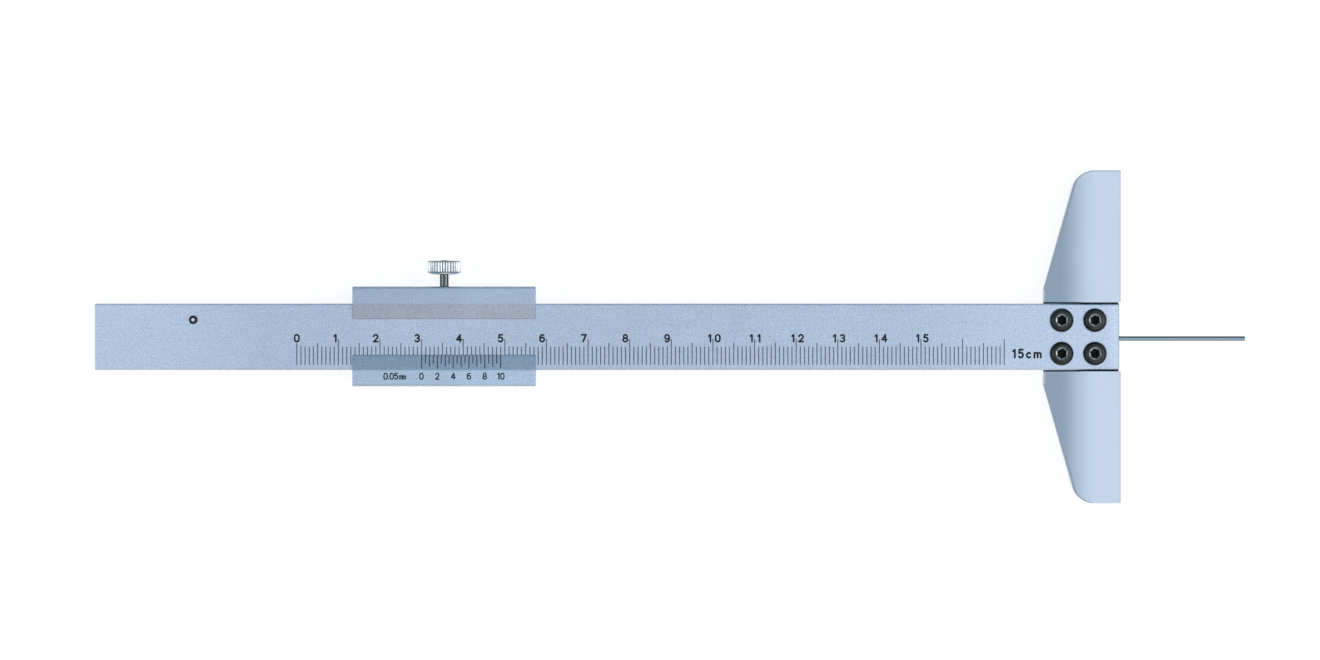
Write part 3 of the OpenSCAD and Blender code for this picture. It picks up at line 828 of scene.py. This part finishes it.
def button_screw(number, turn):
    socket, socket_floor = hexagon(SOCKET_ACROSS, turn), HEAD_HEIGHT - SOCKET_DEPTH
    rings = [(-SHANK_LENGTH, SHANK_RADIUS - SHANK_CHAMFER),
             (SHANK_CHAMFER - SHANK_LENGTH, SHANK_RADIUS), (0, SHANK_RADIUS),
             (0, HEAD_RADIUS - SMALL_EDGE), (SMALL_EDGE, HEAD_RADIUS), (HEAD_HEIGHT / 5, HEAD_RADIUS)]
    rings += quarter(rings[-1], (HEAD_HEIGHT, HEAD_FLAT), steps=12)
    rings += [(HEAD_HEIGHT, SOCKET_RING), (HEAD_HEIGHT - SOCKET_SINK, socket),
              (socket_floor, socket), (socket_floor - SOCKET_CONE, SMALL_EDGE)]
    spot = middle(f"base_screw_{number}")
    return turned(f"button_screw_{number}", rings, SCREW_STEPS, Vector((spot.x, spot.y, front_z)), Z)


for number, turn in enumerate(SCREW_TURNS, 1):
    dress(button_screw(number, turn), screw_black, "gauge_body", "black_oxide", f"base_screw_{number}")

# %% [markdown]
# ## Stop screw
# A small set screw near the tail stands proud of the beam so that the slider can't run off. It is
# threaded over its whole length, and the part that shows has the thread's ridges.

# %% Stop screw
STOP_CHAMFER, STOP_PITCH, STOP_THREAD_DEPTH = 0.22 * MM, 0.4 * MM, 0.12 * MM
STOP_HEX, STOP_HEX_DEPTH, STOP_TURN, STOP_STEPS = 0.9 * MM, 0.3 * MM, math.radians(12), 60
STOP_MOUTH = 0.62 * STOP_HEX


def set_screw():
    spot, length = foot("stop_screw", Z)
    socket = hexagon(STOP_HEX, STOP_TURN)
    rings = [(0, STOP_RADIUS - STOP_CHAMFER)]
    rings += thread(STOP_RADIUS, STOP_THREAD_DEPTH, STOP_PITCH, STOP_CHAMFER, length - STOP_CHAMFER)
    rings += [(length, STOP_RADIUS - STOP_CHAMFER), (length, STOP_MOUTH),
              (length - SMALL_EDGE, socket), (length - STOP_HEX_DEPTH, socket)]
    return turned("set_screw", rings, STOP_STEPS, spot, Z)


dress(set_screw(), stop_black, "gauge_body", "black_oxide", "stop_screw")

# %% [markdown]
# ## Knob and clamp screw
# The knob is turned from bar, straight knurled and chromed. A tooth has a round crest and a sharp
# valley, and the absolute value of a cosine has just that shape. The rim's bevel cuts across the
# teeth, so each ring takes the smaller of the tooth and the profile. The dome under the knob
# ends at a plain neck, and below that the screw's thread goes down into the slider.

# %% Clamp screw
KNOB_TEETH, BEND_STEPS = 36, 6
KNOB_STEPS = 12 * KNOB_TEETH
DOME_RADIUS, DISH_RADIUS, DISH_DEPTH = 2.9 * MM, 2.6 * MM, 0.35 * MM
STEM_RADIUS, STEM_THREAD_DEPTH, STEM_PITCH = 1.2 * MM, 0.2 * MM, 0.45 * MM


def knurl(limit):
    """A toothed ring that goes no further out than a limit."""
    def radius(angle):
        valley = 1 - abs(math.cos(KNOB_TEETH * angle / 2))
        return min(limit, KNOB_RADIUS - TOOTH_DEPTH * valley)
    return radius


def knob_rings():
    """From the neck outwards under the knob, up its side and in across its dished top."""
    rings = [(0, NECK_RADIUS), (SMALL_EDGE / 2, DOME_RADIUS - 2 * SMALL_EDGE),
             (SMALL_EDGE, DOME_RADIUS)]
    turns = [math.radians(90 * k / BEND_STEPS) for k in range(BEND_STEPS + 1)]
    under = KNOB_RADIUS - TOOTH_DEPTH - DOME_RADIUS
    rings += [(SMALL_EDGE + (DOME_HEIGHT - SMALL_EDGE) * (1 - math.cos(turn)),
               DOME_RADIUS + under * math.sin(turn)) for turn in turns[1:-1]]
    rings += [(DOME_HEIGHT, knurl(KNOB_RADIUS - SMALL_EDGE)),
              (DOME_HEIGHT + SMALL_EDGE, knurl(KNOB_RADIUS))]
    rings += [(KNOB_HEIGHT - KNOB_RIM * (1 - math.sin(turn)),
               knurl(KNOB_RADIUS - KNOB_RIM * (1 - math.cos(turn)))) for turn in turns]
    rings += [(KNOB_HEIGHT, DISH_RADIUS)]
    dish = KNOB_HEIGHT - DISH_DEPTH
    rings += quarter(rings[-1], (dish, DISH_RADIUS - DISH_DEPTH), steps=4)
    rings += [(dish, BOSS_RADIUS)]
    rings += quarter(rings[-1], (KNOB_HEIGHT + BOSS_PROUD, BOSS_RADIUS / 2), steps=5)
    return rings


def clamp_screw():
    spot, _ = foot("clamp_screw", Y)
    neck_start = slider_top.y - spot.y
    rings = [(0, STEM_RADIUS - STEM_THREAD_DEPTH)]
    rings += thread(STEM_RADIUS, STEM_THREAD_DEPTH, STEM_PITCH, STEM_THREAD_DEPTH, neck_start)
    rings += [(neck_start + STEM_THREAD_DEPTH / 2, NECK_RADIUS)]
    rings += [(KNOB_FOOT + height, radius) for height, radius in knob_rings()]
    return turned("knurled_clamp_screw", rings, KNOB_STEPS, spot, Y)


dress(clamp_screw(), knob_chrome, "clamp", "knob_chrome", "clamp_screw")

# %% [markdown]
# ## Measuring rod and rivets
# The rod is a plain ground bar whose tip is faced square with a tiny chamfer. Its other end is
# turned down to a thin spigot for the holder. Two rivets hold the holder's foot to the back plate,
# and their heads are low domes that a punch has closed.

# %% Measuring rod
ROD_RADIUS = (rod_tip.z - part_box("measuring_rod")[0].z) / 2
ROD_CHAMFER, SPIGOT_RADIUS, SPIGOT_LENGTH, ROD_STEPS = 0.1 * MM, 0.38 * MM, 5 * MM, 48


def measuring_rod():
    spot, length = foot("measuring_rod", X)
    rings = [(0, SPIGOT_RADIUS - SMALL_EDGE), (SMALL_EDGE, SPIGOT_RADIUS),
             (SPIGOT_LENGTH, SPIGOT_RADIUS), (SPIGOT_LENGTH, ROD_RADIUS - SMALL_EDGE),
             (SPIGOT_LENGTH + SMALL_EDGE, ROD_RADIUS),
             (length - ROD_CHAMFER, ROD_RADIUS), (length, ROD_RADIUS - ROD_CHAMFER)]
    return turned("measuring_rod_turned", rings, ROD_STEPS, spot, X)


dress(measuring_rod(), rod_steel, "slide", "rod_steel", "measuring_rod")

# %% Rivets
RIVET_RADIUS, RIVET_HEAD_RADIUS, RIVET_HEAD_HEIGHT = 0.48 * MM, 0.95 * MM, 0.35 * MM
RIVET_STEPS = 40


def rivet(number):
    spot, length = foot(f"rod_rivet_{number}", -Z)
    head = length - RIVET_HEAD_HEIGHT
    rings = [(0, RIVET_RADIUS), (head, RIVET_RADIUS), (head, RIVET_HEAD_RADIUS)]
    rings += quarter(rings[-1], (length, SMALL_EDGE), steps=7)
    return turned(f"rivet_{number}", rings, RIVET_STEPS, spot, -Z)


for number in (1, 2):
    dress(rivet(number), small_steel, "slide", "small_screw_steel", f"rod_rivet_{number}")

# %% [markdown]
# ## Drawing engraved marks
# An engraving machine draws with a round cutter, so each figure is a path of even width with round
# ends. A path becomes a strip: at each point two edge points, half a width to either side. Extra
# stations past an end make it round. The strip is closed into a very thin plate that lies on the
# face, which keeps the marks crisp at any zoom and needs no image.

# %% Strips
CAP_STEPS = 3
WIDEST_CORNER = 1.6


def stations(path, width, closed=False, round_ends=True):
    """Turns a path into (point, sideways unit vector, half width) along it."""
    points = [Vector(p) for p in path]
    count = len(points)
    made = []
    for k, point in enumerate(points):
        before = points[k - 1] if k or closed else point
        after = points[(k + 1) % count] if k < count - 1 or closed else point
        into, out = (point - before), (after - point)
        into = into.normalized() if into.length else out.normalized()
        out = out.normalized() if out.length else into
        along = (into + out).normalized()
        stretch = 1 / max(along.dot(into), 1 / WIDEST_CORNER)
        made.append((point, Vector((-along.y, along.x)), width / 2 * stretch))
    if closed or not round_ends:
        return made + made[:1] * closed
    caps = [math.pi / 2 * k / CAP_STEPS for k in range(1, CAP_STEPS + 1)]

    def cap(end, outwards):
        point, side, _ = end
        ahead = Vector((side.y, -side.x)) * outwards
        return [(point + ahead * width / 2 * math.sin(c), side, width / 2 * math.cos(c)) for c in caps]

    return cap(made[0], -1)[::-1] + made + cap(made[-1], 1)


# %% [markdown]
# ### Corners and layers
# A cutter's round end makes a round corner, so a path is cut wherever it turns sharply, and both
# parts end round there. All strips of one scale become one mesh. Where two of them cross, tops of
# equal height would flicker, so each strip is a hair thicker than the last.

# %% Corners
SHARP_TURN = math.cos(math.radians(35))


def cut_at_corners(path):
    """Cuts a path where it turns sharply."""
    points, runs = [Vector(p) for p in path], [[]]
    for k, point in enumerate(points):
        runs[-1].append(point)
        if 0 < k < len(points) - 1:
            into, out = (point - points[k - 1]).normalized(), (points[k + 1] - point).normalized()
            if into.dot(out) < SHARP_TURN:
                runs.append([point])
    return runs


# %% Marks on a face
MARK_HEIGHT, LAYER, LAYERS = 0.012 * MM, 0.001 * MM, 7


class Marks:
    """Collects strips on a face and makes one mesh of them. lay maps a flat point to the face."""

    def __init__(self, lay):
        self.lay, self.points, self.faces, self.count = lay, [], [], 0

    def strip(self, path, width, **shape):
        """Adds a strip, one layer thicker than the last."""
        first = len(self.points)
        thickness = MARK_HEIGHT + LAYER * (self.count % LAYERS)
        self.count += 1
        for point, side, half in stations(path, width, **shape):
            for edge in (-half, half):
                spot = point + side * edge
                self.points += [self.lay(spot.x, spot.y, 0), self.lay(spot.x, spot.y, thickness)]
        last = len(self.points) - 4
        for a in range(first, last, 4):
            b = a + 4
            self.faces += [(a + 1, a + 3, b + 3, b + 1), (a, b, b + 2, a + 2),
                           (a, a + 1, b + 1, b), (a + 2, b + 2, b + 3, a + 3)]
        if not shape.get("closed"):
            self.faces += [(first, first + 2, first + 3, first + 1),
                           (last, last + 1, last + 3, last + 2)]

    def piece(self, name):
        return new_piece(name, self.points, self.faces)


# %% [markdown]
# ## The figures
# The figures are drawn in shares of their height: straight strokes are corner points, and
# bows are parts of an ellipse. A path that ends where it began is a closed loop. The set is small:
# ten digits, a point and the two letters of the units cm and mm.

# %% Strokes of the figures
def bow(x, y, rx, ry, start, end, steps=10):
    """Points on part of an ellipse, from one angle to another in degrees."""
    turns = [math.radians(start + (end - start) * k / steps) for k in range(steps + 1)]
    return [(x + rx * math.cos(t), y + ry * math.sin(t)) for t in turns]


STROKES = {
    "0": [bow(0.3, 0.68, 0.28, 0.32, 0, 180) + bow(0.3, 0.32, 0.28, 0.32, 180, 360) + [(0.58, 0.68)]],
    "1": [[(0.12, 0.8), (0.34, 1), (0.34, 0)]],
    "2": [bow(0.3, 0.7, 0.27, 0.3, 165, -35) + [(0.03, 0), (0.6, 0)]],
    "3": [bow(0.28, 0.75, 0.25, 0.25, 150, -85), bow(0.28, 0.26, 0.28, 0.26, 88, -150)],
    "4": [[(0.46, 0), (0.46, 1), (0.02, 0.28), (0.64, 0.28)]],
    "5": [[(0.54, 1), (0.12, 1), (0.08, 0.56)] + bow(0.29, 0.32, 0.28, 0.32, 128, -145)],
    "6": [bow(0.33, 0.62, 0.3, 0.38, 50, 180) + [(0.03, 0.31)],
          bow(0.31, 0.31, 0.28, 0.31, 180, 540, 18)],
    "7": [[(0.02, 1), (0.6, 1), (0.22, 0)]],
    "8": [bow(0.3, 0.75, 0.24, 0.25, -90, 270, 16), bow(0.3, 0.26, 0.29, 0.26, 90, 450, 16)],
    "9": [bow(0.29, 0.38, 0.3, 0.38, 230, 360) + [(0.59, 0.69)],
          bow(0.31, 0.69, 0.28, 0.31, 0, 360, 18)],
    "c": [bow(0.31, 0.3, 0.26, 0.3, 48, 312)],
    "m": [[(0.02, 0), (0.02, 0.6)], bow(0.22, 0.42, 0.2, 0.18, 180, 0) + [(0.42, 0)],
          bow(0.62, 0.42, 0.2, 0.18, 180, 0) + [(0.82, 0)]],
    ".": [[(0.05, 0.02), (0.05, 0.03)]],
}
WIDTH_SHARES = {"1": 0.4, "m": 0.86, ".": 0.12, "c": 0.6}
DIGIT_WIDTH_SHARE, SPACING_SHARE = 0.6, 0.22


def figure_width(character):
    return WIDTH_SHARES.get(character, DIGIT_WIDTH_SHARE)


def write(marks, text, x, y, height, stroke, spacing_share=SPACING_SHARE, squeeze=1.0):
    """Draws text with its left end at x and its foot at y. Returns the x where it ends."""
    for character in text:
        for path in STROKES[character]:
            spots = [(x + squeeze * height * px, y + height * py) for px, py in path]
            if math.dist(spots[0], spots[-1]) < LAYER:
                marks.strip(spots[:-1], stroke, closed=True)
            else:
                for run in cut_at_corners(spots):
                    marks.strip(run, stroke)
        x += squeeze * height * (figure_width(character) + spacing_share)
    return x - squeeze * height * spacing_share


# %% [markdown]
# ## Main scale
# The beam is divided in millimetres from 0 to 170. Every fifth and tenth line is longer, so that
# the eye can count. A figure stands just left of the top of its line, with two digits on either
# side of it. The last two tens have no figure on this gauge, because nothing is read there.

# %% Main scale lines
SCALE_ZERO_BACK, SCALE_END = 198 * MM, 170
LINE_FOOT, LINE_WIDTH = -6.72 * MM, 0.25 * MM
LINE_LENGTHS, ZERO_LINE = ((10, 6.2 * MM), (5, 5.3 * MM), (1, 4.4 * MM)), 5.2 * MM
zero_x = face_x - SCALE_ZERO_BACK


def on_beam(x, y, height):
    return (x, y, front_z + height)


def first_length(number, lengths):
    """The length beside the first step that divides a line's number."""
    return next(length for step, length in lengths if number % step == 0)


scale_lines = Marks(on_beam)
for number in range(SCALE_END + 1):
    x = zero_x + number * MM
    length = first_length(number, LINE_LENGTHS) if number else ZERO_LINE
    ends = [(x, LINE_FOOT), (x, LINE_FOOT + length)]
    scale_lines.strip(ends, LINE_WIDTH, round_ends=False)
dress(scale_lines.piece("main_scale_lines"), line_grey, "gauge_body", "beam_steel")

# %% Main scale figures
FIGURE_FOOT, FIGURE_HEIGHT, FIGURE_STROKE = -1.15 * MM, 1.65 * MM, 0.42 * MM
FIGURE_SQUEEZE, FIGURE_GAP, UNITS_GAP = 1.1, 0.5 * MM, 0.62 * MM
LAST_FIGURE = 15
scale_figures = Marks(on_beam)


def figure_at(character, x, share):
    """Writes a figure with x at its left edge (share 0), its middle (0.5) or its right edge (1)."""
    left = x - share * FIGURE_SQUEEZE * FIGURE_HEIGHT * figure_width(character)
    write(scale_figures, character, left, FIGURE_FOOT, FIGURE_HEIGHT, FIGURE_STROKE,
          squeeze=FIGURE_SQUEEZE)


figure_at("0", zero_x, 0.5)
for number in range(1, LAST_FIGURE + 1):
    x, digits = zero_x + 10 * number * MM, str(number)
    figure_at(digits[0], x - FIGURE_GAP, 1)
    if len(digits) > 1:
        figure_at(digits[1], x + UNITS_GAP, 0)

UNITS_X, UNITS_FOOT, UNITS_HEIGHT = zero_x + 171.9 * MM, -4.98 * MM, 1.9 * MM
UNITS_STROKE, UNITS_SPACING_SHARE = 0.47 * MM, 0.4
end = write(scale_figures, "15cm", UNITS_X, UNITS_FOOT, UNITS_HEIGHT, UNITS_STROKE, UNITS_SPACING_SHARE)
print("the unit mark is", round((end - UNITS_X) / MM, 2), "mm long")
dress(scale_figures.piece("main_scale_figures"), figure_black, "gauge_body", "beam_steel")

# %% [markdown]
# ## Vernier
# The vernier has twenty spaces over nineteen millimetres, so one of its lines always meets a line
# of the main scale, and counting up to it gives twentieths. It stands on the slider's bevelled
# lip, so its lines have to lie on that slope, while its figures are on the flat beside it.

# %% Vernier lines
LIP_REACH, LIP_THIN_TOP = 3.65 * MM, 0.35 * MM
VERNIER_BACK = 5.4 * MM
VERNIER_SPACES, VERNIER_SPAN = 20, 19 * MM
VERNIER_LINE_WIDTH, VERNIER_GAP = 0.24 * MM, 0.04 * MM
VERNIER_LENGTHS = ((4, 3.2 * MM), (2, 2.75 * MM), (1, 2.0 * MM))
lip_edge = LIP_REACH - beam_half
lip_rise = (slider_top.z - front_z - LIP_THIN_TOP) / LIP_REACH
vernier_x = slider_mid.x - VERNIER_BACK


def on_lip(x, y, height):
    """A point on the slope of the lower lip, which rises away from its thin edge."""
    return (x, y, front_z + LIP_THIN_TOP + (lip_edge - y) * lip_rise + height)


vernier_lines = Marks(on_lip)
for number in range(VERNIER_SPACES + 1):
    x, head = vernier_x + VERNIER_SPAN * number / VERNIER_SPACES, lip_edge - VERNIER_GAP
    length = first_length(number, VERNIER_LENGTHS)
    ends = [(x, head - length), (x, head)]
    vernier_lines.strip(ends, VERNIER_LINE_WIDTH, round_ends=False)
dress(vernier_lines.piece("vernier_lines"), vernier_grey, "slide", "slider_steel")

# %% Vernier figures
SMALL_FOOT, SMALL_HEIGHT, SMALL_STROKE = -10.15 * MM, 1.4 * MM, 0.3 * MM
READING_X, READING_SPACING_SHARE = vernier_x - 9.02 * MM, 0.16
READING_UNIT_GAP, READING_UNIT_SQUEEZE, READING_UNIT_STROKE = 0.36 * MM, 0.58, 0.8 * SMALL_STROKE


def on_slider(x, y, height):
    return (x, y, slider_top.z + height)


vernier_figures = Marks(on_slider)
for number in range(0, 11, 2):
    x = vernier_x + VERNIER_SPAN * number / 10
    label = str(number)
    width = SMALL_HEIGHT * (sum(map(figure_width, label)) + SPACING_SHARE * (len(label) - 1))
    write(vernier_figures, label, x - width / 2, SMALL_FOOT, SMALL_HEIGHT, SMALL_STROKE)
end = write(vernier_figures, "0.05", READING_X, SMALL_FOOT, SMALL_HEIGHT, SMALL_STROKE,
            READING_SPACING_SHARE)
write(vernier_figures, "mm", end + READING_UNIT_GAP, SMALL_FOOT, SMALL_HEIGHT, READING_UNIT_STROKE,
      READING_SPACING_SHARE, READING_UNIT_SQUEEZE)
dress(vernier_figures.piece("vernier_figures"), figure_black, "slide", "slider_steel")

# %% [markdown]
# ## Floor
# The photograph's ground is pure white without a shadow. A white floor alone would never render
# as pure white, because soft light leaves it a little grey. So the floor glows a little, but
# only for rays from the camera and for reflections, never as light on the gauge. The rest of
# its brightness is real light, so the gauge's own shadow still falls on it.

# %% Floor
FLOOR_SIZE, FLOOR_DROP = 12.0, 0.02 * MM
FLOOR_GLOW = 0.8
FLOOR_COLOUR = linear(158, 158, 158)


def floor_finish():
    material, tree, shader = new_finish("studio_floor", Base_Color=FLOOR_COLOUR, Roughness=0.9,
                                        Specular_IOR_Level=0.0)
    rays = add(tree, "LightPath").outputs
    seen = maths(tree, "MAXIMUM", rays["Is Camera Ray"], rays["Is Glossy Ray"])
    seen = maths(tree, "MAXIMUM", seen, rays["Is Transmission Ray"])
    feed(shader, Emission_Color=(1, 1, 1, 1), Emission_Strength=times(tree, seen, FLOOR_GLOW))
    mix = add(tree, "MixShader", Fac=add(tree, "NewGeometry").outputs["Backfacing"])
    put(mix.inputs[1], shader.outputs[0])
    put(mix.inputs[2], add(tree, "BsdfTransparent").outputs[0])
    feed(tree.nodes["Material Output"], Surface=mix.outputs[0])
    return material


half = FLOOR_SIZE / 2
corners = [(sx * half, sy * half, -FLOOR_DROP) for sx, sy in ((-1, -1), (1, -1), (1, 1), (-1, 1))]
floor = new_piece("studio_floor", corners, [(0, 1, 2, 3)])
floor.data.materials.append(floor_finish())
print("floor is", FLOOR_SIZE, "m wide, facing", tuple(round(v) for v in floor.data.polygons[0].normal))

# %% [markdown]
# ## Light
# Steel shows what surrounds it, so the light is a soft dome that is brightest straight above, where
# the flat faces look, and falls off to the left, to the top and towards the horizon. The sloping
# wings and the bevelled lips look that way and turn darker, as they do in the photograph. Low down
# at both sides the dome is bright again, as with a panel on either side of a light table: turned
# parts show these panels as two light stripes. Two soft lamps put small lights on the screws.

# %% Soft dome
DOME_STRENGTH = 1.1
COOL, WARM, PLAIN = linear(228, 246, 255), linear(250, 232, 218), linear(255, 255, 255)
LEFT_FALL, FAR_FALL = (-0.38, -0.03, 0.43, 1.0), (0.12, 0.62, 1.0, 0.66)
LOW_FALL, NEAR_RISE = (0.1, 0.7, 0.38, 1.0), (-0.9, -0.35, 1.0, 0.0)
PANEL_SIDES, PANEL_FOOT = (0.55, 0.9, 0.0, 0.85), (0.0, 0.3, 0.25, 1.0)
WARM_FROM, COOL_BELOW = (-0.65, -0.2, 1.0, 0.0), (0.5, 1.0, 1.0, 0.0)


def soft_dome():
    world = bpy.data.worlds.new("soft_dome")
    world.use_nodes = True
    bpy.context.scene.world = world
    tree = world.node_tree
    x, y, z = axes(tree, "Generated")
    height = maths(tree, "MAXIMUM", ramp(tree, z, *LOW_FALL), ramp(tree, y, *NEAR_RISE))
    level = times(tree, ramp(tree, x, *LEFT_FALL), ramp(tree, y, *FAR_FALL), height)
    sides = ramp(tree, maths(tree, "ABSOLUTE", x), *PANEL_SIDES)
    level = maths(tree, "MAXIMUM", level, times(tree, sides, ramp(tree, z, *PANEL_FOOT)))
    tint = blended(tree, ramp(tree, y, *WARM_FROM), PLAIN, WARM)
    tint = blended(tree, ramp(tree, level, *COOL_BELOW), tint, COOL)
    feed(tree.nodes["Background"], Color=tint, Strength=times(tree, level, DOME_STRENGTH))


soft_dome()
print("dome strength", DOME_STRENGTH)

# %% Side lamps
LAMP_SIZE, LAMP_SIDE, LAMP_FORWARD, LAMP_UP = 0.24, 0.85, -0.05, 0.75
LEFT_POWER, RIGHT_POWER = 0.55, 0.65


def soft_lamp(name, x, power):
    """A round area lamp beside the gauge that looks at its middle."""
    data = bpy.data.lights.new(name, "AREA")
    data.shape, data.size, data.energy = "DISK", LAMP_SIZE, power
    lamp = in_scene(name, data)
    lamp.location = (x, LAMP_FORWARD, LAMP_UP)
    lamp.rotation_mode = "QUATERNION"
    lamp.rotation_quaternion = lamp.location.to_track_quat("Z", "Y")


soft_lamp("left_lamp", -LAMP_SIDE, LEFT_POWER)
soft_lamp("right_lamp", LAMP_SIDE, RIGHT_POWER)
print("two lamps of", LEFT_POWER, "and", RIGHT_POWER, "W")

# %% [markdown]
# ## Camera
# The photograph looks straight down on the graduated face from far away, so its lines hardly
# converge. A long lens at two metres does the same. The field of view follows from the width of
# the face that the picture shows, and the middle of the picture from where the gauge sits in it.

# %% Camera
SEEN_WIDTH, CAMERA_HEIGHT = 317.2 * MM, 2.0
SEEN_MIDDLE = Vector((-2.47 * MM, 1.65 * MM))
SENSOR_WIDTH, NEAREST, FARTHEST = 36, 0.1, 20

camera_data = bpy.data.cameras.new("camera")
camera_data.sensor_width = SENSOR_WIDTH
camera_data.lens = SENSOR_WIDTH * CAMERA_HEIGHT / SEEN_WIDTH
camera_data.clip_start, camera_data.clip_end = NEAREST, FARTHEST
camera = in_scene("camera", camera_data)
camera.location = (SEEN_MIDDLE.x, SEEN_MIDDLE.y, front_z + CAMERA_HEIGHT)
bpy.context.scene.camera = camera
bpy.context.scene.view_settings.view_transform = "Standard"
print("lens", round(camera_data.lens), "mm")
